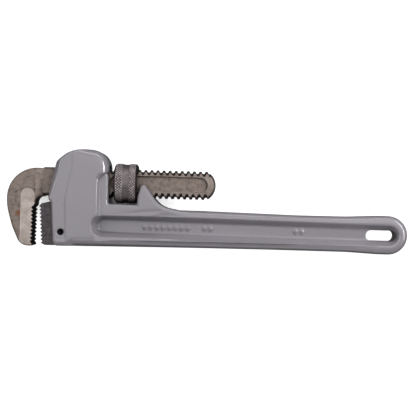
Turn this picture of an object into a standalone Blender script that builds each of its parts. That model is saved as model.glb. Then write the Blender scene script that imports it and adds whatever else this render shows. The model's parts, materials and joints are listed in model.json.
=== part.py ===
"""A 14 inch adjustable pipe wrench: a cast handle, a hook jaw with a threaded shank, its nut and springs.

Metres, +Z up. The wrench lies flat: +X runs towards the hanging eye, +Y from the handle towards the dome, and
+Z across its thickness. The origin is the middle of the underside of the whole wrench.
Every outline below is in millimetres from a point on the axis of the nut, and each object is placed there.
"""

import math

import bmesh
import bpy
from mathutils import Matrix, Vector

MM = 0.001
ARC_STEP = math.radians(15)
ARC_SAG = 0.03

# Overall reach from that point, mm
HEAD_BACK = -87.3
EYE_END = 210.4
HEAD_FOOT = -48.2
DOME_TOP = 24.2
BLOCK_HALF = 15.5
NUT_ORIGIN = Vector((-(HEAD_BACK + EYE_END) / 2, -(HEAD_FOOT + DOME_TOP) / 2, BLOCK_HALF)) * MM

# Thread of the shank and the nut, mm
PITCH = 4.55
CREST = 10.7
ROOT = 9.0
THREAD_FLANK = 0.75
THREAD_GAP = 0.33
THREAD_STEPS = 24
THREAD_PHASE = 1.0

# Hook jaw, mm
SHANK_HALF = 6.35
SHANK_START = -60.5
THREAD_START = -15.0
SHANK_END = 67.2
HEAD_HALF = 8.5
ARM_THINS = -65.8
TEETH = 10
TOOTH_DEPTH = 1.5

# Nut, mm
NUT_RADIUS = 14.9
NUT_X = 0.6
NUT_HALF = 8.4
NUT_CHAMFER = 1.3

# Handle casting, mm
WINDOW_HALF = 12.0
BEAM_HALF = 9.6
SLOT_HALF = 6.75
WEB_HALF = 4.0
SHOULDER_ROUNDING = 7.5

# Heel jaw and its pin, mm
HEEL_HALF = 8.0
TENON_HALF = 5.0
FIT = 0.3
PIN = (-45.3, -37.0)
PIN_RADIUS = 2.1
PIN_WALL = 0.75
PIN_HALF = 10.5

# Springs on the back of the shank, mm
LEAF_HALF = 6.0
COIL_X = -31.0
COIL_RADIUS = 3.7
COIL_WIRE = 1.1
COIL_TURNS = 3.5


def new_collection(name):
    collection = bpy.data.collections.new(name)
    bpy.context.scene.collection.children.link(collection)
    return collection


def new_material(name, colour, roughness, metallic):
    material = bpy.data.materials.new(name)
    material.use_nodes = True
    shader = material.node_tree.nodes["Principled BSDF"]
    shader.inputs["Base Color"].default_value = (*colour, 1)
    shader.inputs["Roughness"].default_value = roughness
    shader.inputs["Metallic"].default_value = metallic
    return material


def arc_chords(corners):
    """How many chords each corner's arc takes to stay close to a true arc."""
    counts = []
    for index, (x, y, radius) in enumerate(corners):
        arriving = Vector((x, y)) - Vector(corners[index - 1][:2])
        leaving = Vector(corners[(index + 1) % len(corners)][:2]) - Vector((x, y))
        step = min(ARC_STEP, 2 * math.acos(1 - ARC_SAG / radius)) if radius > ARC_SAG else ARC_STEP
        counts.append(max(1, math.ceil(arriving.angle(leaving) / step)))
    return counts


def rounded(corners, chords=None):
    """The closed outline through corners (x, y, radius), with each corner turned into an arc."""
    chords = chords or arc_chords(corners)
    points = []
    for index, (x, y, radius) in enumerate(corners):
        corner = Vector((x, y))
        back = (Vector(corners[index - 1][:2]) - corner).normalized()
        ahead = (Vector(corners[(index + 1) % len(corners)][:2]) - corner).normalized()
        if radius == 0:
            points.append(corner)
            continue
        half_angle = back.angle(ahead) / 2
        centre = corner + (back + ahead).normalized() * radius / math.sin(half_angle)
        reach = radius / math.tan(half_angle)
        start = corner + back * reach - centre
        turn = -start.angle_signed(corner + ahead * reach - centre)
        steps = chords[index]
        points += [centre + Matrix.Rotation(turn * k / steps, 2) @ start for k in range(steps + 1)]
    return points


def inset(corners, distance):
    """The corners of the same outline moved inwards; they run counterclockwise."""
    moved = []
    for index, (x, y, radius) in enumerate(corners):
        corner = Vector((x, y))
        arriving = (corner - Vector(corners[index - 1][:2])).normalized()
        leaving = (Vector(corners[(index + 1) % len(corners)][:2]) - corner).normalized()
        normals = [Vector((-way.y, way.x)) for way in (arriving, leaving)]
        corner += (normals[0] + normals[1]) * distance / (1 + normals[0].dot(normals[1]))
        if radius:
            convex = arriving.cross(leaving) > 0
            radius = max(radius - distance, 0.05) if convex else radius + distance
        moved.append((*corner, radius))
    return moved


def counterclockwise(corners):
    area = sum(corners[k - 1][0] * y - x * corners[k - 1][1] for k, (x, y, _) in enumerate(corners))
    return list(corners) if area > 0 else list(reversed(corners))


def divided(points, pieces):
    """The outline with each side cut into its number of equal pieces."""
    following = points[1:] + points[:1]
    return [a.lerp(b, k / count) for a, b, count in zip(points, following, pieces) for k in range(count)]


def stadium(x0, x1, y, radius):
    """The corners of a slot whose round ends are centred on x0 and x1."""
    corner = radius * 0.999
    return (
        (x0 - radius, y - radius, corner),
        (x1 + radius, y - radius, corner),
        (x1 + radius, y + radius, corner),
        (x0 - radius, y + radius, corner),
    )


def mesh_object(name, mesh, collection):
    obj = bpy.data.objects.new(name, mesh)
    obj.location = NUT_ORIGIN
    collection.objects.link(obj)
    return obj


def cleaned(obj):
    """Welds doubled points and turns every face outwards."""
    shape = bmesh.new()
    shape.from_mesh(obj.data)
    bmesh.ops.remove_doubles(shape, verts=shape.verts, dist=0.002 * MM)
    face_outwards(shape)
    shape.to_mesh(obj.data)
    shape.free()
    return obj


def face_outwards(shape):
    bmesh.ops.recalc_face_normals(shape, faces=shape.faces)
    if shape.calc_volume(signed=True) < 0:
        bmesh.ops.reverse_faces(shape, faces=shape.faces)


def as_mesh(curve_object, collection):
    """Replaces a curve object with a welded mesh object of the same name and place."""
    graph = bpy.context.evaluated_depsgraph_get()
    mesh = bpy.data.meshes.new_from_object(curve_object.evaluated_get(graph))
    mesh.transform(curve_object.matrix_world)
    name = curve_object.name
    bpy.data.objects.remove(curve_object)
    return cleaned(mesh_object(name, mesh, collection))


def plate(name, corners, low, high, collection):
    """A flat outline between two heights, with square rims."""
    curve = bpy.data.curves.new(name, "CURVE")
    curve.dimensions = "2D"
    curve.fill_mode = "BOTH"
    curve.extrude = (high - low) / 2 * MM
    outline = rounded(corners)
    spline = curve.splines.new("POLY")
    spline.points.add(len(outline) - 1)
    for point, (x, y) in zip(spline.points, outline):
        point.co = (x * MM, y * MM, 0, 1)
    spline.use_cyclic_u = True
    curve_object = bpy.data.objects.new(name, curve)
    curve_object.location.z = (high + low) / 2 * MM
    bpy.context.scene.collection.objects.link(curve_object)
    bpy.context.view_layer.update()
    return as_mesh(curve_object, collection)


def soft_plate(name, corners, half, edge, collection, segments=4, longest=1000):
    """A flat outline of this half thickness whose rims round over by the edge radius."""
    corners = counterclockwise(corners)
    chords = arc_chords(corners)
    outer = rounded(corners, chords)
    pieces = [math.ceil((b - a).length / longest) for a, b in zip(outer, outer[1:] + outer[:1])]
    rising = []
    for k in range(segments + 1):
        angle = math.pi / 2 * k / segments
        narrower = inset(corners, edge * (1 - math.cos(angle)))
        ring = divided(rounded(narrower, chords), pieces)
        rising.append([(*point, half - edge + edge * math.sin(angle)) for point in ring])
    rings = [[(x, y, -z) for x, y, z in ring] for ring in reversed(rising)] + rising
    shape = bmesh.new()
    layers = [[shape.verts.new(Vector(point) * MM) for point in ring] for ring in rings]
    for lower, upper in zip(layers, layers[1:]):
        for k in range(len(lower)):
            shape.faces.new((lower[k - 1], lower[k], upper[k], upper[k - 1]))
    shape.faces.new(layers[0])
    shape.faces.new(layers[-1])
    mesh = bpy.data.meshes.new(name)
    shape.to_mesh(mesh)
    shape.free()
    return cleaned(mesh_object(name, mesh, collection))


def helper(obj):
    """Keeps a cutter or a joined shape out of the finished wrench."""
    obj.hide_render = True
    obj.display_type = "WIRE"
    return obj


def cut(name, corners, low, high):
    return helper(plate(name, corners, low, high, CUTTERS))


def soft_helper(name, corners, half, edge, segments=4):
    return helper(soft_plate(name, corners, half, edge, CUTTERS, segments))


def mirrored(obj):
    """Adds the same shape on the other face of the wrench, to the same object."""
    other = obj.data.copy()
    other.transform(Matrix.Scale(-1, 4, (0, 0, 1)))
    other.flip_normals()
    shape = bmesh.new()
    shape.from_mesh(obj.data)
    shape.from_mesh(other)
    shape.to_mesh(obj.data)
    shape.free()
    return obj


def mirrored_cut(name, corners, low, high):
    return mirrored(cut(name, corners, low, high))


def boolean(obj, operation, *others):
    for other in others:
        modifier = obj.modifiers.new(other.name, "BOOLEAN")
        modifier.operation = operation
        modifier.object = other


def finish(obj, material):
    obj.data.materials.clear()
    obj.data.materials.append(material)
    obj.data.shade_smooth()
    obj.data.set_sharp_from_angle(angle=math.radians(35))
    return obj


def cap_ends(shape, middle):
    """Closes each open end of a thread with a fan of faces to a point on its axis."""
    rims = [edge for edge in shape.edges if edge.is_boundary]
    for rim in ([e for e in rims if e.verts[0].co.x < middle], [e for e in rims if e.verts[0].co.x > middle]):
        reach = [vertex.co.x for edge in rim for vertex in edge.verts]
        tip = shape.verts.new(((min(reach) + max(reach)) / 2, 0, 0))
        for edge in rim:
            shape.faces.new((*edge.verts, tip))


def thread(name, root, crest, start, end, widen=0.0):
    """A right-hand threaded rod along X, with a crest on top at its phase. Widening thickens its thread."""
    turns = math.ceil((end - start) / PITCH) + 2
    first = (math.floor(start / PITCH) - 1) * PITCH + THREAD_PHASE
    crest_half = (PITCH / 2 - THREAD_FLANK) / 2 + widen
    root_half = crest_half + THREAD_FLANK
    profile = (
        (0, root),
        (PITCH / 2 - root_half, root),
        (PITCH / 2 - crest_half, crest),
        (PITCH / 2 + crest_half, crest),
        (PITCH / 2 + root_half, root),
        (PITCH, root),
    )
    mesh = bpy.data.meshes.new(name)
    mesh.from_pydata(
        [((first - PITCH / 2 + x) * MM, r * MM, 0) for x, r in profile],
        [(k, k + 1) for k in range(len(profile) - 1)],
        [],
    )
    obj = bpy.data.objects.new(name, mesh)
    bpy.context.scene.collection.objects.link(obj)
    screw = obj.modifiers.new("Thread", "SCREW")
    screw.axis = "X"
    screw.steps = THREAD_STEPS
    screw.render_steps = THREAD_STEPS
    screw.iterations = turns
    screw.screw_offset = PITCH * MM
    screw.use_merge_vertices = False
    bpy.context.view_layer.update()
    screwed = as_mesh(obj, CUTTERS)
    shape = bmesh.new()
    shape.from_mesh(screwed.data)
    cap_ends(shape, (start + end) / 2 * MM)
    bmesh.ops.triangulate(shape, faces=shape.faces)
    face_outwards(shape)
    shape.to_mesh(screwed.data)
    shape.free()
    return helper(screwed)


def rod(name, radius, start, end, axis, centre, collection, sides=32, edge=0.0):
    """A round bar along X, Y or Z, with chamfered ends."""
    shape = bmesh.new()
    length = end - start
    bmesh.ops.create_cone(
        shape,
        cap_ends=True,
        segments=sides,
        radius1=radius * MM,
        radius2=radius * MM,
        depth=length * MM,
    )
    if edge:
        rims = [e for e in shape.edges if abs(e.verts[0].co.z - e.verts[1].co.z) < 1e-9]
        bmesh.ops.bevel(shape, geom=rims, offset=edge * MM, segments=1, affect="EDGES")
    mesh = bpy.data.meshes.new(name)
    shape.to_mesh(mesh)
    shape.free()
    mesh.transform(Matrix.Translation((0, 0, (start + end) / 2 * MM)))
    if axis == "X":
        mesh.transform(Matrix.Rotation(math.pi / 2, 4, "Y"))
    elif axis == "Y":
        mesh.transform(Matrix.Rotation(-math.pi / 2, 4, "X"))
    mesh.transform(Matrix.Translation(Vector(centre) * MM))
    return mesh_object(name, mesh, collection)


def turned(name, profile, steps, collection):
    """A closed profile of (radius, x) points turned round X."""
    mesh = bpy.data.meshes.new(name)
    edges = [(k, (k + 1) % len(profile)) for k in range(len(profile))]
    mesh.from_pydata([(x * MM, radius * MM, 0) for radius, x in profile], edges, [])
    obj = bpy.data.objects.new(name, mesh)
    bpy.context.scene.collection.objects.link(obj)
    screw = obj.modifiers.new("Turning", "SCREW")
    screw.axis = "X"
    screw.steps = steps
    screw.render_steps = steps
    screw.use_merge_vertices = False
    bpy.context.view_layer.update()
    return as_mesh(obj, collection)


def toothed_line(top, foot, depth):
    """A row of sharp teeth from top to foot, with its valleys on the side given by the sign of depth."""
    corners = []
    for k in range(TEETH):
        corners.append((*top.lerp(foot, k / TEETH), 0))
        corners.append((*(top.lerp(foot, (k + 0.5) / TEETH) + Vector((depth, 0))), 0))
    return corners + [(*foot, 0)]


def head_outline():
    return (
        (SHANK_START, CREST - 1.0, 0),
        (HEAD_BACK, CREST - 0.6, 22.2),
        (HEAD_BACK, -19.0, 40),
        (-83.0, -34.0, 30),
        (-76.5, HEAD_FOOT, 8.5),
        (-67.3, HEAD_FOOT, 1.2),
        (-66.3, -17.4, 2),
        (-66.3, -11.2, 5),
        (SHANK_START, -11.2, 0),
    )


def head_half(x, y):
    """Half the head's thickness: the arm thins down to the shank before it enters the housing."""
    at_shank = min(max((x - ARM_THINS) / (SHANK_START - ARM_THINS), 0), 1)
    return HEAD_HALF + (SHANK_HALF + 0.1 - HEAD_HALF) * at_shank


def shank():
    """The bar with two flat sides and a rounded end that carries the thread."""
    start = SHANK_START - 6
    outline = ((start, -12, 0), (SHANK_END, -12, 11.95), (SHANK_END, 12, 11.95), (start, 12, 0))
    bar = soft_helper("shank_bar", outline, SHANK_HALF, 2.8)
    left = SHANK_START - 1.5
    plain = rod("shank_round", CREST + 0.05, left, THREAD_START, "X", (0, 0, 0), CUTTERS, 48, edge=1.1)
    screw = thread("shank_thread", ROOT, CREST, THREAD_START - PITCH, SHANK_END)
    boolean(screw, "UNION", helper(plain))
    boolean(bar, "INTERSECT", screw)
    return bar


def hook_jaw():
    """The head, arm and threaded shank, forged as one piece."""
    blade = soft_plate("hook_jaw", head_outline(), HEAD_HALF, 2.2, PARTS, 3, 3)
    fold(blade, ARM_THINS)
    thin(blade, head_half, HEAD_HALF)
    recess = drafted_cut("shank_recess", ((-6, 0.2, 4.9, 0.4), (55.6, 0.2, 4.9, 0.4)), SHANK_HALF - 1.7, 3)
    pad = mirrored_cut(
        "machined_side",
        ((-76.6, -52, 0), (-66.1, -52, 0), (-66.1, -5, 5.1), (-76.6, -5, 5.1)),
        HEAD_HALF - 0.5,
        HEAD_HALF + 2,
    )
    teeth = toothed_line(Vector((-67.2, -18.6)), Vector((-67.6, -46.6)), -TOOTH_DEPTH)
    rack = cut("hook_teeth", [(-66.9, -17.8, 0), *teeth, (-60, -46.6, 0), (-60, -17.8, 0)], -12, 12)
    boolean(blade, "UNION", shank())
    boolean(blade, "DIFFERENCE", recess, pad, rack)
    return blade


def adjusting_nut():
    """The nut's two bands, its groove and its chamfers, cut by a rod with the shank's thread made wider."""
    profile = (
        (7.4, NUT_HALF),
        (NUT_RADIUS - NUT_CHAMFER, NUT_HALF),
        (NUT_RADIUS, NUT_HALF - NUT_CHAMFER),
        (NUT_RADIUS, 2.7),
        (NUT_RADIUS - 0.6, 2.1),
    )
    other_end = [(radius, -x) for radius, x in reversed(profile)]
    whole = [(radius, x + NUT_X) for radius, x in (*profile, *other_end)]
    ring = turned("adjusting_nut", whole, 64, PARTS)
    tap = thread("nut_thread", ROOT + FIT, CREST + FIT + 0.05, -NUT_HALF - 3, NUT_HALF + 4, THREAD_GAP)
    boolean(ring, "DIFFERENCE", tap)
    return ring


def beam():
    """The I-beam handle before its channels are cut, deeper where it meets the housing."""
    corners = (
        (-40, -47.4, 0),
        (4, -46.9, 200),
        (57, -46.4, 200),
        (110, -46.1, 200),
        (166, -46.1, 120),
        (187, -47.1, 60),
        (EYE_END, -47.3, 14.2),
        (EYE_END, -18.4, 14.2),
        (190, -18.5, 60),
        (166, -19.8, 120),
        (130, -20.0, 150),
        (94, -19.4, 150),
        (58, -18.8, 200),
        (-40, -18.9, 0),
    )
    blank = soft_plate("handle", corners, BEAM_HALF, 4.6, PARTS, 5, 12)
    thin(blank, beam_half, BEAM_HALF)
    return blank


def fold(obj, x):
    """Cuts the faces of a plate where its thickness starts to change."""
    shape = bmesh.new()
    shape.from_mesh(obj.data)
    whole = shape.verts[:] + shape.edges[:] + shape.faces[:]
    bmesh.ops.bisect_plane(shape, geom=whole, plane_co=(x * MM, 0, 0), plane_no=(1, 0, 0))
    shape.to_mesh(obj.data)
    shape.free()


def thin(obj, half_at, half):
    """Scales a plate of one thickness to the half thickness that half_at gives at each place."""
    for vertex in obj.data.vertices:
        vertex.co.z *= half_at(vertex.co.x / MM, vertex.co.y / MM) / half


def horn_half(x, y):
    """The window's cheeks keep their thickness as far as the horn, then run out into the handle."""
    run_out = min(max((x - 22) / 30, 0), 1)
    return WINDOW_HALF + (beam_half(x, y) - 0.3 - WINDOW_HALF) * run_out**2 * (3 - 2 * run_out)


def beam_half(x, y):
    """Half the handle's thickness: its lower flange runs into the block, its upper flange into the window."""
    lower_side = min(max((-22 - y) / 18, 0), 1)
    at_window = WINDOW_HALF - 0.3
    at_block = at_window + (BLOCK_HALF - 0.05 - at_window) * lower_side
    taper = min(max((x + 17) / 113, 0), 1)
    return at_block + (BEAM_HALF - at_block) * (1 - (1 - taper) ** 2)


def block_outline():
    return (
        (-18.3, -46.9, 0),
        (-48.2, -47.3, 5),
        (-51.2, -46.5, 3),
        (-53.2, -15.8, 3),
        (-55.5, -12.6, 2),
        (-50.4, 14.4, 3.5),
        (-40.5, DOME_TOP - 0.45, 23),
        (-27.0, DOME_TOP + 0.05, 30),
        (-11.6, DOME_TOP - 1.2, 13),
        (-11.6, 8.0, 0),
        (-18.3, 4.0, 6),
    )


def shoulder_outline():
    """A shape that meets the block only at its dome's shoulders and underside, and rounds those far more."""
    return (
        (-120, -80, 0),
        (-46, -80, 0),
        (-41, -47.8, 10),
        (-11.2, -47.8, 0),
        (-11.4, DOME_TOP - 1.0, 13.3),
        (-27.0, DOME_TOP + 0.5, 30),
        (-48.6, DOME_TOP + 6, 6),
        (-52.4, 8.5, 40),
        (-66, -40, 30),
    )


def window_plate_outline():
    return (
        (-24, -30, 0),
        (60, -30, 0),
        (60, -19.8, 0),
        (44, -19.4, 20),
        (26.6, -16.3, 18),
        (15.1, -0.6, 2.45),
        (11.9, -0.6, 2.45),
        (9.4, -9.0, 20),
        (9.4, -15.6, 0),
        (-11.5, -15.3, 0),
        (-11.5, 10.0, 7),
        (-24, 10.0, 0),
    )


def drafted_cut(name, ends, floor, depth):
    """A recess with sloping sides, alike on both faces: the hull of two cones (x, y, radius, draft)."""
    shape = bmesh.new()
    for x, y, radius, draft in ends:
        bmesh.ops.create_cone(
            shape,
            cap_ends=True,
            segments=36,
            radius1=radius * MM,
            radius2=(radius + draft * depth) * MM,
            depth=depth * MM,
            matrix=Matrix.Translation(Vector((x, y, floor + depth / 2)) * MM),
        )
    bmesh.ops.delete(shape, geom=shape.edges[:] + shape.faces[:], context="EDGES_FACES")
    hull = bmesh.ops.convex_hull(shape, input=shape.verts)
    spare = [item for item in hull["geom_interior"] if isinstance(item, bmesh.types.BMVert)]
    bmesh.ops.delete(shape, geom=spare, context="VERTS")
    mesh = bpy.data.meshes.new(name)
    shape.to_mesh(mesh)
    shape.free()
    return cleaned(helper(mirrored(mesh_object(name, mesh, CUTTERS))))


def handle():
    """The handle and the housing, cast as one piece."""
    casting = beam()
    block = soft_helper("block", block_outline(), BLOCK_HALF, 2.9)
    channels = drafted_cut("channels", ((-14.9, -31.6, 4.7, 0.32), (195.9, -33.1, 4.2, 0.62)), WEB_HALF, 14)
    shoulder = soft_helper("shoulder", shoulder_outline(), BLOCK_HALF + 0.02, SHOULDER_ROUNDING, 7)
    boolean(block, "INTERSECT", shoulder)
    window_plate = helper(soft_plate("window_plate", window_plate_outline(), WINDOW_HALF, 2.4, CUTTERS, 3, 6))
    thin(window_plate, horn_half, WINDOW_HALF)
    slot = cut(
        "shank_slot",
        (
            (-70, -11.4, 0),
            (2, -11.4, 0),
            (62, -17.6, 0),
            (62, 12.5, 0),
            (-13, 12.5, 0),
            (-19, 17.8, 3),
            (-30, 20.8, 8),
            (-41, 18.2, 5),
            (-47, 15.8, 0),
            (-70, 15.8, 0),
        ),
        -SLOT_HALF,
        SLOT_HALF,
    )
    mortise = cut(
        "tenon_mortise",
        ((-60, -43.8, 0), (-37.8, -43.8, 2), (-37.8, -20.2, 2), (-60, -20.2, 0)),
        -TENON_HALF - FIT,
        TENON_HALF + FIT,
    )
    pin_hole = helper(rod("pin_hole", PIN_RADIUS + FIT, -20, 20, "Z", (*PIN, 0), CUTTERS, 24))
    eye = cut("eye", stadium(183.9, 198.3, -33.3, 3.9), -20, 20)
    strip = mirrored_cut(
        "front_strip",
        ((-60, -43.2, 0), (-41.2, -43.2, 0), (-42.6, -13.2, 0), (-37.5, 14, 0), (-39.5, 30, 0), (-60, 30, 0)),
        BLOCK_HALF - 0.4,
        BLOCK_HALF + 4,
    )
    boolean(casting, "UNION", block, window_plate)
    boolean(casting, "DIFFERENCE", channels, slot, mortise, pin_hole, eye, strip)
    return casting


def heel_jaw():
    """The hardened insert, with a tenon that its pin crosses."""
    front = toothed_line(Vector((-62.9, -18.6)), Vector((-61.1, -45.8)), TOOTH_DEPTH)
    body = [
        (-61.8, -17.4, 0),
        *front,
        (-58.0, -47.3, 0),
        (-51.4, -47.3, 0),
        (-53.5, -16.4, 0),
        (-54.8, -15.0, 0),
        (-61.0, -16.4, 0),
    ]
    jaw = plate("heel_jaw", body, -HEEL_HALF, HEEL_HALF, PARTS)
    tenon_corners = ((-56, -43.5, 0), (-38.1, -43.5, 2), (-38.1, -20.5, 2), (-56, -20.5, 0))
    tenon = cut("tenon", tenon_corners, -TENON_HALF, TENON_HALF)
    hole = helper(rod("tenon_hole", PIN_RADIUS + FIT, -9, 9, "Z", (*PIN, 0), CUTTERS, 24))
    boolean(jaw, "UNION", tenon)
    boolean(jaw, "DIFFERENCE", hole)
    return jaw


def heel_jaw_pin():
    """A slotted spring pin: a strip rolled into a tube that stays open along one side."""
    steps = 20
    opening = math.radians(24)
    angles = [opening + (2 * math.pi - 2 * opening) * k / steps for k in range(steps + 1)]
    outer = [(PIN[0] + math.cos(a) * PIN_RADIUS, PIN[1] + math.sin(a) * PIN_RADIUS, 0) for a in angles]
    bore = PIN_RADIUS - PIN_WALL
    inner = [(PIN[0] + math.cos(a) * bore, PIN[1] + math.sin(a) * bore, 0) for a in reversed(angles)]
    return plate("heel_jaw_pin", outer + inner, -PIN_HALF, PIN_HALF, PARTS)


def flat_spring():
    """The leaf on the back of the shank, bowed so that both its ends stand off."""
    low = [(x, leaf_height(x), 0) for x in range(-44, -14, 3)]
    high = [(x, y + 0.9, 0) for x, y, _ in reversed(low)]
    leaf = plate("flat_spring", low + high, -LEAF_HALF, LEAF_HALF, PARTS)
    hole = helper(rod("rivet_hole", 1.6 + FIT, 8, 16, "Y", (COIL_X, 0, 0), CUTTERS, 24))
    boolean(leaf, "DIFFERENCE", hole)
    return leaf


def leaf_height(x):
    return CREST + FIT + 0.004 * (x - COIL_X) ** 2


def spring_rivet():
    """The rivet that ties the coil to the leaf: a stem in the leaf and a head above it."""
    stem = rod("spring_rivet", 1.6, leaf_height(COIL_X), 13.4, "Y", (COIL_X, 0, 0), PARTS, 24)
    head = helper(rod("rivet_head", 2.5, 12.2, 13.4, "Y", (COIL_X, 0, 0), CUTTERS, 24, 0.4))
    boolean(stem, "UNION", head)
    return stem


def coil_spring():
    """The coil between the leaf and the roof of the dome, with flattened end turns."""
    curve = bpy.data.curves.new("coil_spring", "CURVE")
    curve.dimensions = "3D"
    curve.bevel_depth = COIL_WIRE / 2 * MM
    curve.bevel_resolution = 1
    curve.use_fill_caps = True
    low, high = 12.5 + COIL_WIRE / 2, 19.3 - COIL_WIRE / 2
    steps = round(COIL_TURNS * 16)
    spline = curve.splines.new("POLY")
    spline.points.add(steps)
    for k, point in enumerate(spline.points):
        angle = 2 * math.pi * COIL_TURNS * k / steps
        height = low + (high - low) * k / steps
        point.co = (
            (COIL_X + COIL_RADIUS * math.cos(angle)) * MM,
            height * MM,
            COIL_RADIUS * math.sin(angle) * MM,
            1,
        )
    obj = bpy.data.objects.new("coil_spring", curve)
    bpy.context.scene.collection.objects.link(obj)
    bpy.context.view_layer.update()
    return as_mesh(obj, PARTS)


def main():
    paint = new_material("grey_paint", (0.30, 0.285, 0.31), 0.4, 0.0)
    forging = new_material("oxide_forging", (0.19, 0.145, 0.125), 0.55, 0.6)
    hardened = new_material("dark_steel", (0.07, 0.06, 0.065), 0.5, 0.7)
    nut_steel = new_material("nut_steel", (0.11, 0.09, 0.095), 0.5, 0.7)
    spring = new_material("spring_steel", (0.35, 0.35, 0.36), 0.35, 0.9)
    finish(handle(), paint)
    finish(hook_jaw(), forging)
    finish(adjusting_nut(), nut_steel)
    finish(heel_jaw(), hardened)
    finish(heel_jaw_pin(), spring)
    finish(flat_spring(), spring)
    finish(coil_spring(), spring)
    finish(spring_rivet(), spring)


for old in list(bpy.data.objects):
    bpy.data.objects.remove(old)
PARTS = new_collection("Pipe wrench")
CUTTERS = new_collection("Pipe wrench cutters")
CUTTERS.hide_render = True
main()
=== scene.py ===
"""The looks of the pipe wrench: a painted casting, a scaled forging, knurled and hardened steel, springs."""

import json
import math

import bmesh
import bpy
import numpy as np
from mathutils import Matrix, Vector


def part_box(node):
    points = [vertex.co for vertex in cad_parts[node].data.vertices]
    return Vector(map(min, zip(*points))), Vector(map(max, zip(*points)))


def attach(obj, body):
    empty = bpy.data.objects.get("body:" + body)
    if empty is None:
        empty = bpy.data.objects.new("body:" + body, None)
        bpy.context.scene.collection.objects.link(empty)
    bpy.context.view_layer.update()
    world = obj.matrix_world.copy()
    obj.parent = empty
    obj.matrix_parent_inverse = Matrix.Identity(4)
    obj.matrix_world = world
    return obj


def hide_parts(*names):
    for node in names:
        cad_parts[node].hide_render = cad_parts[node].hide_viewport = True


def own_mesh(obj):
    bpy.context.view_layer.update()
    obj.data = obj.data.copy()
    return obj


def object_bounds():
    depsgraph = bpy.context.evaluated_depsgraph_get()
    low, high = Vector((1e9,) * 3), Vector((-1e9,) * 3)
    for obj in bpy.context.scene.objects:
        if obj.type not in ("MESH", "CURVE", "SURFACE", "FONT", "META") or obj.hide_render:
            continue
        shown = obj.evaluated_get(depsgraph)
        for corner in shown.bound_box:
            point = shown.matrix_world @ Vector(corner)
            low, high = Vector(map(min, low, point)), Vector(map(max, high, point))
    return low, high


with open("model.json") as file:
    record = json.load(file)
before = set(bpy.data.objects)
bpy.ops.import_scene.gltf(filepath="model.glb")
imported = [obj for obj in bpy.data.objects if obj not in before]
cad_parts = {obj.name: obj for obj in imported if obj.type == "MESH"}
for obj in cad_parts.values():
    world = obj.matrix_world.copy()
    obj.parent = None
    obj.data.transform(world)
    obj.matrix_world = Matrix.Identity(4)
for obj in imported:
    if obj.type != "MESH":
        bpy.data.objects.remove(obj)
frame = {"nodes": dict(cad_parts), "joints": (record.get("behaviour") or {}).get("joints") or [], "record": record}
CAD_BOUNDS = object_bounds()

MM = 0.001
JOINTS = {joint["name"]: joint for joint in frame["joints"]}
NUT = Vector(JOINTS["nut_spin"]["pos_m"])
NUT_LOW, NUT_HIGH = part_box("adjusting_nut")
NUT_HALF = (NUT_HIGH.x - NUT_LOW.x) / 2 / MM
NUT_X = (NUT_HIGH.x + NUT_LOW.x) / 2 - NUT.x
NUT_RADIUS = (NUT_HIGH.y - NUT_LOW.y) / 2 / MM
COUPLING = frame["record"]["behaviour"]["couplings"][0]["ratio"]
PITCH = -2 * math.pi / COUPLING

# From here on, lengths are in mm, places in mm from the nut's joint, and angles in degrees

# Camera: straight above the wrench, turned a little
CAMERA_AIM = (58.9, -13.55)
CAMERA_HEIGHT = 550.0
CAMERA_VIEW = 306.0
CAMERA_ROLL = 1.7

# Name, place, size and power of a soft box overhead, low ones behind and before the wrench, and a thin
# strip at each side for the fillets
LIGHTS = (
    ("top_box", (10, 190, 700), (1200, 640), 3.3),
    ("back_box", (60, 640, 300), (1100, 260), 2.7),
    ("front_box", (60, -640, 260), (1100, 200), 0.9),
    ("left_strip", (-640, 80, 420), (560, 40), 1.2),
    ("right_strip", (700, 160, 500), (620, 60), 5.2),
)
LIGHT_AIM = (60, -15, 0)
WORLD_LIGHT = 0.04

# Floor and the backdrop that it curves up into
FLOOR_RADIUS = 2000.0
BACKDROP_REACH = 1000.0
BACKDROP_HEIGHT = 4000.0
BACKDROP_STEPS = 12
FLOOR_GAP = 0.2
FLOOR_SHADE_REACH = 60.0

VOXELS = {"handle": (0.45, 0.8), "hook_jaw": (0.24, 0.4), "heel_jaw": (0.18, 0.4)}

# Raised lozenges along both sides of the web: half sizes, and heights from the wrench's middle plane
LOZENGES = [15 + 4.6 * k for k in range(8)] + [59.5, 64.1, 127.5, 132.1]
LOZENGE_Y = -31.9
LOZENGE_HALF_WIDTH = 1.9
LOZENGE_HALF_HEIGHT = 2.9
LOZENGE_FOOT = 3.0
LOZENGE_TOP = 4.55
LOZENGE_TAPER = 0.72

# Hook jaw: where its machined side, its teeth, the bare bar and the bar's round end lie
PAD_LEFT, PAD_RIGHT, PAD_TOP = -77.0, -65.9, 0.4
PAD_LOW, PAD_HIGH = 7.6, 8.25
TEETH_LEFT, TEETH_RIGHT, TEETH_TOP = -69.4, -66.2, -17.2
BAR_LEFT = -15.0
BAR_END = 60.0
RECESS_HIGH = 6.1
THREAD_LOW = 8.2
RUST_SPOT = (-77.8, -24.2, 8.5)
RUST_REACH = 6.5
RUST_RAGGED = 3.5

# Nut: its end chamfers, the smooth groove between its two bands, and the knurl on the bands
NUT_CHAMFER = 1.3
NUT_SLOPE = 0.5
GROOVE_HALF = 2.1
GROOVE_DEPTH = 0.6
BAND_INNER = 2.2
BAND_MARGIN = 1.5
BAND_FADE = 0.4
KNURL_STARTS = 46
KNURL_PITCH = 2.2
KNURL_DEPTH = 0.5
KNURL_SHARE = 0.75
SMOOTH_WEAR = 0.42
BORE_WEAR = 0.2

# Nut's bore and its thread. The half width and the flank are shares of the pitch
BORE_RADIUS = 9.3
BORE_THREAD_DEPTH = 1.7
BORE_THREAD_HALF = 0.40
BORE_THREAD_FLANK = 0.165
THREAD_PHASE = 1.0

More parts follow.
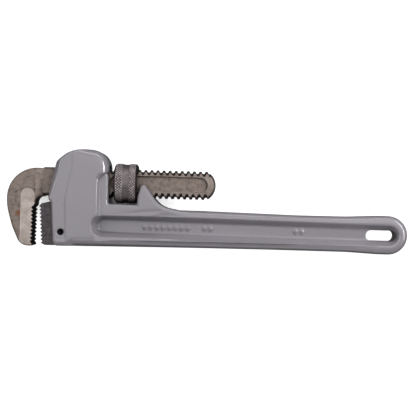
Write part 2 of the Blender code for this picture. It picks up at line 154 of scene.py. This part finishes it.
# Springs
RIVET_HEAD_RADIUS = 2.0
COIL_WIRE = 1.1
COIL_TURNS = 4.5
COIL_STEPS = 216
COIL_CLOSED_SHARE = 0.08


def camera():
    data = bpy.data.cameras.new("camera")
    data.sensor_width = 36
    data.lens = data.sensor_width * CAMERA_HEIGHT / CAMERA_VIEW
    data.clip_start = 0.05
    obj = new_piece("camera", data)
    obj.location = NUT + Vector((*CAMERA_AIM, CAMERA_HEIGHT)) * MM
    obj.rotation_euler = (0, 0, math.radians(CAMERA_ROLL))
    bpy.context.scene.camera = obj


def area_light(name, place, size, power):
    data = bpy.data.lights.new(name, "AREA")
    data.shape = "RECTANGLE"
    data.size, data.size_y = size[0] * MM, size[1] * MM
    data.energy = power
    obj = new_piece(name, data)
    obj.location = NUT + Vector(place) * MM
    obj.rotation_euler = (Vector(LIGHT_AIM) - Vector(place)).to_track_quat("-Z", "Y").to_euler()


def lights():
    for light in LIGHTS:
        area_light(*light)
    world = bpy.data.worlds.new("studio")
    world.use_nodes = True
    background = world.node_tree.nodes["Background"]
    background.inputs["Color"].default_value = (1, 1, 1, 1)
    background.inputs["Strength"].default_value = WORLD_LIGHT
    bpy.context.scene.world = world


# ---- materials ----


class Shader:
    """A Principled material and short calls for the nodes that feed it."""

    def __init__(self, name, roughness=0.5, metallic=0.0):
        self.material = bpy.data.materials.new(name)
        self.material.use_nodes = True
        self.tree = self.material.node_tree
        self.bsdf = self.tree.nodes["Principled BSDF"]
        self.set(Roughness=roughness, Metallic=metallic)
        self.place = self.add("ShaderNodeTexCoord").outputs["Object"]

    def feed(self, socket, value):
        """Links another node's output into a socket, or sets a plain value on it."""
        if isinstance(value, bpy.types.NodeSocket):
            self.tree.links.new(value, socket)
        else:
            socket.default_value = value

    def add(self, kind, inputs=None, **settings):
        node = self.tree.nodes.new(kind)
        for key, value in settings.items():
            setattr(node, key, value)
        for key, value in (inputs or {}).items():
            self.feed(node.inputs[key], value)
        return node

    def set(self, **inputs):
        for key, value in inputs.items():
            self.feed(self.bsdf.inputs[key.replace("_", " ")], value)

    def math(self, operation, a, b):
        return self.add("ShaderNodeMath", {0: a, 1: b}, operation=operation).outputs[0]

    def noise(self, scale, detail, stretch=(1, 1, 1), roughness=0.55):
        place = self.add("ShaderNodeMapping", {"Vector": self.place, "Scale": stretch}).outputs[0]
        inputs = {"Vector": place, "Scale": scale, "Detail": detail, "Roughness": roughness}
        return self.add("ShaderNodeTexNoise", inputs).outputs["Fac"]

    def ramp(self, value, *stops):
        """Colours or greys along a 0 to 1 value, given as (position, colour)."""
        node = self.add("ShaderNodeValToRGB", {"Fac": value})
        elements = node.color_ramp.elements
        while len(elements) < len(stops):
            elements.new(0.5)
        for element, (position, colour) in zip(elements, stops):
            element.position = position
            grey = isinstance(colour, float)
            element.color = (colour, colour, colour, 1) if grey else (*colour, 1)
        return node.outputs["Color"]

    def mix(self, fac, a, b):
        a, b = (value if isinstance(value, bpy.types.NodeSocket) else (*value, 1) for value in (a, b))
        return self.add("ShaderNodeMix", {0: fac, 6: a, 7: b}, data_type="RGBA").outputs[2]

    def openness(self, reach, samples):
        """1 in the open, 0 in crevices narrower than the reach."""
        inputs = {"Distance": reach * MM}
        return self.add("ShaderNodeAmbientOcclusion", inputs, samples=samples).outputs["AO"]

    def shaded_in_crevices(self, colour, reach, dark_colour):
        """The colour, darkened as painted shade in crevices narrower than the reach."""
        return self.mix(self.ramp(self.openness(reach, 6), (0.18, 0.0), (0.72, 1.0)), dark_colour, colour)

    def bump(self, height, distance):
        """Relief of this distance, added to the material's normal."""
        inputs = {"Height": height, "Distance": distance * MM, "Strength": 1.0}
        normal = self.bsdf.inputs["Normal"]
        if normal.is_linked:
            inputs["Normal"] = normal.links[0].from_socket
        self.set(Normal=self.add("ShaderNodeBump", inputs).outputs[0])


def linear(channel):
    """A colour channel given as 0 to 255 on screen, as the linear value that nodes take."""
    share = channel / 255
    return share / 12.92 if channel <= 10 else ((share + 0.055) / 1.055) ** 2.4


def srgb(red, green, blue):
    return linear(red), linear(green), linear(blue)


def paint():
    """Grey enamel over a cast skin, a little cloudy and specked, darkened in its crevices as painted shade."""
    s = Shader("grey_enamel", 0.36)
    cloud = s.ramp(s.noise(14, 3), (0.3, srgb(122, 118, 124)), (0.7, srgb(131, 127, 133)))
    speck = s.ramp(s.noise(900, 2), (0.30, 1.0), (0.36, 0.0))
    specked = s.mix(s.math("MULTIPLY", speck, 0.3), cloud, srgb(88, 84, 88))
    # Painted shade: the enamel darkens toward near-black in crevices narrower than 9 mm
    s.set(Base_Color=s.shaded_in_crevices(specked, 9, srgb(20, 18, 22)))
    s.set(Roughness=s.ramp(s.noise(55, 5), (0.3, 0.30), (0.7, 0.42)))
    s.set(Coat_Weight=0.8, Coat_Roughness=0.12)
    s.bump(s.noise(420, 3), 0.035)
    s.bump(s.noise(70, 2), 0.12)
    return s.material


def forging():
    """Brown forging scale with one spot of rust on the head, darkened in crevices as painted shade."""
    s = Shader("forging_scale", 0.55, 0.25)
    tone = s.ramp(
        s.noise(300, 8, roughness=0.7),
        (0.28, srgb(62, 54, 50)),
        (0.42, srgb(108, 96, 89)),
        (0.58, srgb(132, 119, 111)),
        (0.74, srgb(104, 96, 84)),
    )
    spot = {0: s.place, 1: NUT + Vector(RUST_SPOT) * MM}
    from_spot = s.add("ShaderNodeVectorMath", spot, operation="DISTANCE").outputs["Value"]
    ragged = s.math("ADD", from_spot, s.math("MULTIPLY", s.noise(700, 4), RUST_RAGGED * MM))
    rust = s.ramp(s.math("MULTIPLY", ragged, 1 / (RUST_REACH * MM)), (0.45, 0.85), (0.75, 0.0))
    # Painted shade: the scale darkens toward near-black in crevices narrower than 7 mm
    s.set(Base_Color=s.shaded_in_crevices(s.mix(rust, tone, srgb(112, 66, 40)), 7, srgb(16, 13, 12)))
    s.set(Roughness=s.ramp(s.noise(260, 5), (0.3, 0.46), (0.75, 0.68)))
    s.bump(s.noise(650, 6), 0.07)
    s.bump(s.noise(110, 3), 0.25)
    return s.material


def machined(name, light, dark, stretch):
    """Milled steel with tool lines and darker, dirtier patches, darkened in crevices as painted shade."""
    s = Shader(name, 0.42, 0.55)
    lines = s.noise(320, 4, stretch)
    patches = s.noise(160, 5)
    worn = s.mix(s.ramp(patches, (0.35, 0.0), (0.7, 1.0)), light, dark)
    lined = s.mix(s.ramp(lines, (0.35, 0.35), (0.6, 0.0)), worn, dark)
    # Painted shade: the steel darkens toward near-black in crevices narrower than 6 mm
    s.set(Base_Color=s.shaded_in_crevices(lined, 6, srgb(16, 13, 12)))
    s.set(Roughness=s.ramp(lines, (0.3, 0.34), (0.7, 0.52)))
    s.bump(lines, 0.03)
    return s.material


def black_steel(name, light, dark, roughness):
    """Hardened steel with a fine grain, darkened in crevices as painted shade."""
    s = Shader(name, roughness, 0.5)
    grain = s.noise(520, 6, roughness=0.7)
    # Painted shade: the steel goes nearly black in crevices narrower than 5 mm
    s.set(Base_Color=s.shaded_in_crevices(s.ramp(grain, (0.3, dark), (0.72, light)), 5, srgb(8, 7, 8)))
    s.set(Roughness=s.ramp(s.noise(300, 4), (0.3, roughness - 0.08), (0.7, roughness + 0.1)))
    s.bump(grain, 0.06)
    return s.material


def knurled():
    """Dark oiled steel, rubbed bright on the crests of the knurl, as the mesh's worn attribute says, and darkened
    in crevices as painted shade.
    """
    s = Shader("nut_steel", 0.42, 0.75)
    relief = s.add("ShaderNodeAttribute", attribute_name="worn").outputs["Fac"]
    worn = s.math("MULTIPLY", relief, s.ramp(s.noise(500, 3), (0.3, 0.75), (0.7, 1.0)))
    dark_colour = s.ramp(s.noise(240, 6), (0.3, srgb(32, 27, 29)), (0.7, srgb(56, 50, 51)))
    oiled = s.mix(s.ramp(worn, (0.2, 0.0), (0.85, 1.0)), dark_colour, srgb(198, 187, 188))
    # Painted shade: the oiled steel darkens toward near-black in crevices narrower than 5 mm
    s.set(Base_Color=s.shaded_in_crevices(oiled, 5, srgb(12, 10, 11)))
    s.set(Roughness=s.ramp(worn, (0.2, 0.55), (0.9, 0.3)))
    s.bump(s.noise(1400, 3), 0.03)
    return s.material


def bright_spring():
    s = Shader("spring_steel", 0.3, 1.0)
    steel = s.ramp(s.noise(300, 4), (0.3, srgb(120, 118, 118)), (0.7, srgb(168, 166, 166)))
    # Painted shade: the spring steel goes nearly black in crevices narrower than 6 mm
    s.set(Base_Color=s.shaded_in_crevices(steel, 6, srgb(10, 9, 10)))
    s.bump(s.noise(900, 2), 0.01)
    return s.material


def floor_material():
    """A backlit white sheet with a painted shadow: its glow fades to dark only where the wrench almost covers it.
    """
    s = Shader("floor", 0.9)
    # Painted shadow: the floor's glow goes out where the wrench closes over it within the reach
    glow_with_painted_shadow = s.ramp(s.openness(FLOOR_SHADE_REACH, 16), (0.06, 0.0), (0.12, 1.0))
    s.set(Base_Color=(0.25, 0.25, 0.25, 1), Specular_IOR_Level=0.0)
    s.set(Emission_Color=glow_with_painted_shadow, Emission_Strength=1.0)
    return s.material


# ---- meshes ----


def new_piece(name, data):
    obj = bpy.data.objects.new(name, data)
    bpy.context.scene.collection.objects.link(obj)
    return obj


def evaluated_mesh(obj):
    return bpy.data.meshes.new_from_object(obj.evaluated_get(bpy.context.evaluated_depsgraph_get()))


def refined(name, node, rounds, extra=()):
    """A fine copy of a CAD node, welded from small voxels and smoothed, together with any extra solids."""
    mesh = frame["nodes"][node].data.copy()
    shape = bmesh.new()
    shape.from_mesh(mesh)
    for solid in extra:
        shape.from_mesh(solid)
    bmesh.ops.remove_doubles(shape, verts=shape.verts, dist=0.001 * MM)
    shape.to_mesh(mesh)
    shape.free()
    obj = new_piece(name, mesh)
    remesh = obj.modifiers.new("Voxels", "REMESH")
    remesh.mode = "VOXEL"
    remesh.voxel_size = VOXELS[node][0] * MM
    smooth = obj.modifiers.new("Smoothing", "SMOOTH")
    smooth.factor = 0.5
    smooth.iterations = rounds
    fine = evaluated_mesh(obj)
    obj.modifiers.clear()
    obj.data = fine
    fine.materials.clear()
    fine.shade_smooth()
    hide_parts(node)
    return obj


def lozenge(x, side):
    """A raised lozenge with sloping sides, on the web's upper side (1) or its lower side (-1)."""
    shape = bmesh.new()
    bmesh.ops.create_cone(
        shape,
        cap_ends=True,
        segments=4,
        radius1=LOZENGE_HALF_HEIGHT * MM,
        radius2=LOZENGE_HALF_HEIGHT * LOZENGE_TAPER * MM,
        depth=(LOZENGE_TOP - LOZENGE_FOOT) * MM,
    )
    mesh = bpy.data.meshes.new("lozenge")
    shape.to_mesh(mesh)
    shape.free()
    mesh.transform(Matrix.Diagonal((LOZENGE_HALF_WIDTH / LOZENGE_HALF_HEIGHT, 1, side, 1)))
    if side < 0:
        mesh.flip_normals()
    middle = side * (LOZENGE_FOOT + LOZENGE_TOP) / 2
    mesh.transform(Matrix.Translation(NUT + Vector((x, LOZENGE_Y, middle)) * MM))
    return mesh


def casting():
    row = [lozenge(x, side) for x in LOZENGES for side in (-1, 1)]
    obj = refined("handle_casting", "handle", 8, row)
    obj.data.materials.append(paint())
    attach(obj, "housing")


def centres_and_normals(mesh):
    """The middle and normal of each face, the middles in mm from the nut's joint."""
    centres = np.empty(len(mesh.polygons) * 3, np.float32)
    normals = np.empty(len(mesh.polygons) * 3, np.float32)
    mesh.polygons.foreach_get("center", centres)
    mesh.polygons.foreach_get("normal", normals)
    return (centres.reshape(-1, 3) - np.array(NUT)) / MM, normals.reshape(-1, 3)


def jaw_finishes(mesh):
    """Each face's material: 0 forged, 1 milled pad, 2 teeth, 3 rim of the bar, 4 thread and rounded end."""
    at, normal = centres_and_normals(mesh)
    x, y, z = at.T
    upright = np.abs(normal[:, 2])
    height = np.abs(z)
    flat = upright > 0.7
    slot = np.zeros(len(x), np.int32)
    at_pad = (height > PAD_LOW) & (height < PAD_HIGH) & (x > PAD_LEFT) & (x < PAD_RIGHT) & (y < PAD_TOP)
    at_teeth = (x > TEETH_LEFT) & (x < TEETH_RIGHT) & (y < TEETH_TOP)
    bar = x > BAR_LEFT
    slot[flat & at_pad] = 1
    slot[~flat & at_teeth] = 2
    slot[bar & flat & (height > RECESS_HIGH)] = 3
    slot[bar & ~flat & (np.hypot(y, z) > THREAD_LOW)] = 4
    # The bar's rounded end takes the dark thread steel as painted shade on its rounding
    slot[(x > BAR_END) & (upright < 0.93)] = 4
    return slot


def forged_jaw():
    obj = refined("hook_jaw_forging", "hook_jaw", 2)
    mesh = obj.data
    mesh.materials.append(forging())
    mesh.materials.append(machined("milled_steel", srgb(190, 178, 171), srgb(150, 139, 132), (1, 6, 1)))
    # The teeth's near-black is partly the hardened steel's own tone and partly painted shade between the jaws
    mesh.materials.append(black_steel("jaw_teeth", srgb(50, 44, 44), srgb(18, 15, 16), 0.5))
    mesh.materials.append(machined("shank_rim", srgb(150, 138, 130), srgb(112, 101, 95), (6, 1, 1)))
    mesh.materials.append(machined("thread_steel", srgb(92, 83, 78), srgb(52, 46, 43), (1, 1, 1)))
    mesh.polygons.foreach_set("material_index", jaw_finishes(mesh))
    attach(obj, "jaw")


def hardened_jaw():
    obj = refined("heel_jaw_insert", "heel_jaw", 1)
    obj.data.materials.append(black_steel("hardened_steel", srgb(104, 97, 101), srgb(46, 41, 44), 0.48))
    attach(obj, "housing")


def ridge(phase):
    """1 in the middle of each V groove that repeats once a unit of phase, 0 outside it."""
    return np.clip(1 - np.abs(phase - np.round(phase)) * 2 / KNURL_SHARE, 0, 1)


def within(x, half, fade):
    """1 up to half from the middle, then falling to 0 over the fade."""
    return 1 - np.clip((np.abs(x) - half) / fade, 0, 1)


def nut_outside(x, angle):
    """The outside's radius, and how far its steel is rubbed bright, at each x and angle."""
    chamfer = np.clip(np.abs(x) - (NUT_HALF - NUT_CHAMFER), 0, None)
    band = (1 - within(x, BAND_INNER, NUT_SLOPE)) * within(x, NUT_HALF - BAND_MARGIN, BAND_FADE)
    groove = GROOVE_DEPTH * within(x, GROOVE_HALF, NUT_SLOPE)
    around = angle / (2 * np.pi) * KNURL_STARTS
    along = x / KNURL_PITCH
    knurl = np.maximum(ridge(around + along), ridge(around - along)) * band
    worn = band * (1 - knurl) + (1 - band) * SMOOTH_WEAR * np.clip(1 - chamfer, 0.3, 1)
    return NUT_RADIUS - chamfer - groove - KNURL_DEPTH * knurl, worn


def nut_bore(x, angle):
    """The bore's radius at each x and angle, with the groove that the shank's crests run in."""
    turn = (x * MM + NUT_X - THREAD_PHASE * MM) / PITCH - angle / (2 * np.pi)
    from_crest = np.abs(np.mod(turn + 0.5, 1) - 0.5)
    depth = np.clip((BORE_THREAD_HALF - from_crest) / BORE_THREAD_FLANK, 0, 1)
    return BORE_RADIUS + BORE_THREAD_DEPTH * depth


def closed_grid(name, points):
    """A mesh from rows of points, where each row and each column closes on itself."""
    rows, count = points.shape[:2]
    row, column = np.meshgrid(np.arange(rows), np.arange(count), indexing="ij")
    after, beside = (row + 1) % rows, (column + 1) % count
    corners = [row * count + column, after * count + column, after * count + beside, row * count + beside]
    faces = np.stack([corner.ravel() for corner in corners], axis=1)
    mesh = bpy.data.meshes.new(name)
    mesh.from_pydata(points.reshape(-1, 3).tolist(), [], faces.tolist())
    shape = bmesh.new()
    shape.from_mesh(mesh)
    bmesh.ops.recalc_face_normals(shape, faces=shape.faces)
    shape.to_mesh(mesh)
    shape.free()
    return mesh


def nut_mesh():
    """The nut as sections round its axis: each runs along the outside and back through the bore."""
    turns = 720
    angle = np.linspace(0, 2 * np.pi, turns, endpoint=False)[:, None]
    x_out = np.linspace(-NUT_HALF, NUT_HALF, 131)[None, :]
    x_in = np.linspace(NUT_HALF, -NUT_HALF, 101)[None, :]
    outside, worn = nut_outside(x_out, angle)
    bore = nut_bore(x_in, angle)
    r = np.concatenate([outside, bore], axis=1)
    x = np.broadcast_to(np.concatenate([x_out, x_in], axis=1), r.shape)
    points = np.stack([x, r * np.cos(angle), r * np.sin(angle)], axis=2)
    mesh = closed_grid("nut", points * MM + np.array(NUT) + (NUT_X, 0, 0))
    worn = np.concatenate([worn, np.full(bore.shape, BORE_WEAR)], axis=1)
    mesh.attributes.new("worn", "FLOAT", "POINT").data.foreach_set("value", worn.ravel().astype(np.float32))
    return mesh


def knurled_nut():
    obj = new_piece("knurled_nut", nut_mesh())
    obj.data.shade_smooth()
    obj.data.materials.append(knurled())
    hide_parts("adjusting_nut")
    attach(obj, "nut")


def finished(obj, node, steel):
    obj.data.materials.clear()
    obj.data.materials.append(steel)
    obj.data.shade_smooth()
    obj.data.set_sharp_from_angle(angle=math.radians(40))
    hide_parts(node)


def edged(name, node, width, steel):
    """A copy of a CAD node with its flat faces whole and its edges rounded over."""
    obj = new_piece(name, frame["nodes"][node].data.copy())
    shape = bmesh.new()
    shape.from_mesh(obj.data)
    bmesh.ops.remove_doubles(shape, verts=shape.verts, dist=0.001 * MM)
    bmesh.ops.dissolve_limit(shape, angle_limit=math.radians(1), verts=shape.verts, edges=shape.edges)
    sharp = [edge for edge in shape.edges if edge.calc_face_angle(0) > math.radians(35)]
    bmesh.ops.bevel(shape, geom=sharp, offset=width * MM, segments=3, profile=0.5, affect="EDGES")
    shape.to_mesh(obj.data)
    shape.free()
    finished(obj, node, steel)
    return obj


def slimmed_head(rivet):
    """Draws the rivet's head in, so that the coil's first turn clears it when the jaw rocks."""
    low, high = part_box("spring_rivet")
    middle = (low + high) / 2
    for vertex in rivet.data.vertices:
        across = Vector((vertex.co.x - middle.x, 0, vertex.co.z - middle.z))
        if across.length > RIVET_HEAD_RADIUS * MM:
            vertex.co += across.normalized() * (RIVET_HEAD_RADIUS * MM - across.length)


def coil():
    """The coil between the leaf and the dome's roof, wound from round wire, with its end turns closed."""
    low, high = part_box("coil_spring")
    wire = COIL_WIRE * MM
    middle = (low + high) / 2
    radius = (high.x - low.x - wire) / 2
    curve = bpy.data.curves.new("coil", "CURVE")
    curve.dimensions = "3D"
    curve.bevel_depth = wire / 2
    curve.bevel_resolution = 4
    curve.use_fill_caps = True
    spline = curve.splines.new("POLY")
    spline.points.add(COIL_STEPS)
    for k, point in enumerate(spline.points):
        share = k / COIL_STEPS
        angle = 2 * math.pi * COIL_TURNS * share
        rise = min(max((share - COIL_CLOSED_SHARE) / (1 - 2 * COIL_CLOSED_SHARE), 0), 1)
        y = low.y + wire / 2 + (high.y - low.y - wire) * rise
        point.co = (middle.x + radius * math.cos(angle), y, middle.z + radius * math.sin(angle), 1)
    source = new_piece("coil_curve", curve)
    mesh = evaluated_mesh(source)
    bpy.data.objects.remove(source)
    return new_piece("coil_winding", mesh)


def springs():
    steel = bright_spring()
    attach(edged("leaf_spring", "flat_spring", 0.12, steel), "spring_carrier")
    rivet = edged("rivet", "spring_rivet", 0.1, steel)
    slimmed_head(rivet)
    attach(rivet, "spring_carrier")
    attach(edged("slotted_pin", "heel_jaw_pin", 0.12, steel), "housing")
    winding = coil()
    finished(winding, "coil_spring", steel)
    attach(winding, "housing")
    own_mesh(winding)


def stage():
    """A pale floor that curves up into a backdrop all round. It sends no light back into the wrench."""
    shape = bmesh.new()
    bmesh.ops.create_circle(shape, cap_ends=True, segments=96, radius=FLOOR_RADIUS * MM)
    rim = [edge for edge in shape.edges if edge.is_boundary]
    for k in range(1, BACKDROP_STEPS + 1):
        angle = math.pi / 2 * k / BACKDROP_STEPS
        radius = FLOOR_RADIUS + BACKDROP_REACH * math.sin(angle)
        made = bmesh.ops.extrude_edge_only(shape, edges=rim)["geom"]
        rim = [item for item in made if isinstance(item, bmesh.types.BMEdge)]
        for vertex in (item for item in made if isinstance(item, bmesh.types.BMVert)):
            vertex.co = Vector((vertex.co.x, vertex.co.y, 0)).normalized() * radius * MM
            vertex.co.z = BACKDROP_HEIGHT * (1 - math.cos(angle)) * MM
    mesh = bpy.data.meshes.new("floor")
    shape.to_mesh(mesh)
    shape.free()
    mesh.materials.append(floor_material())
    mesh.shade_smooth()
    obj = new_piece("floor", mesh)
    obj.location.z = CAD_BOUNDS[0].z - FLOOR_GAP * MM
    obj.visible_diffuse = False
    obj.visible_glossy = False


def main():
    camera()
    lights()
    stage()
    casting()
    forged_jaw()
    hardened_jaw()
    knurled_nut()
    springs()
    bpy.context.scene.view_settings.view_transform = "Standard"


main()
